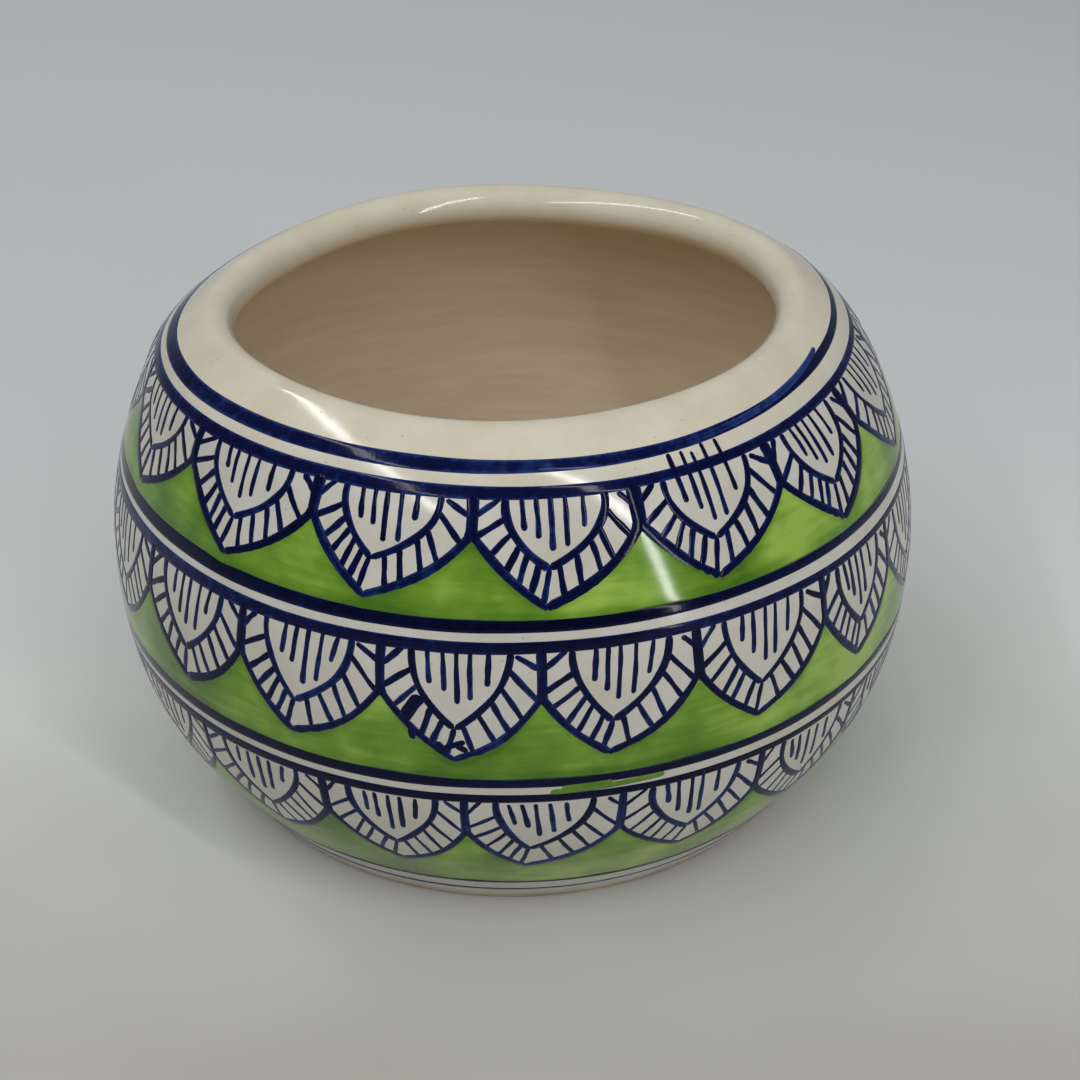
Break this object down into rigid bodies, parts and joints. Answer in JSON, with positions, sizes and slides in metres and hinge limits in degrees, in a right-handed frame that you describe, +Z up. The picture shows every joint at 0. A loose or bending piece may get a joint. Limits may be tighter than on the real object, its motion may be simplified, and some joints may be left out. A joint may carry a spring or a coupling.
{
  "type": "cachepot",
  "caption": "Squat round glazed cachepot with a rolled lip, foot ring, painted petal rows and paired lines.",
  "frame": {"origin": "middle of the foot, on the surface that the pot stands on", "axes": "+Z up along the axis of the bowl; the pictured side looks along -Y, with +X to its right"},
  "size_m": [0.2006, 0.2006, 0.1256],
  "materials": {
    "cream_glaze": "gloss",
    "cobalt_paint": "gloss",
    "green_paint": "gloss"
  },
  "bodies": {
    "root": {"clay_body": "cream_glaze", "lip_line_upper": "cobalt_paint", "lip_line_lower": "cobalt_paint", "shoulder_line_upper": "cobalt_paint", "shoulder_line_lower": "cobalt_paint", "belly_line_upper": "cobalt_paint", "belly_line_lower": "cobalt_paint", "foot_line_upper": "cobalt_paint", "foot_line_lower": "cobalt_paint", "green_field_upper": "green_paint", "green_field_middle": "green_paint", "green_field_lower": "green_paint"}
  },
  "joints": []
}
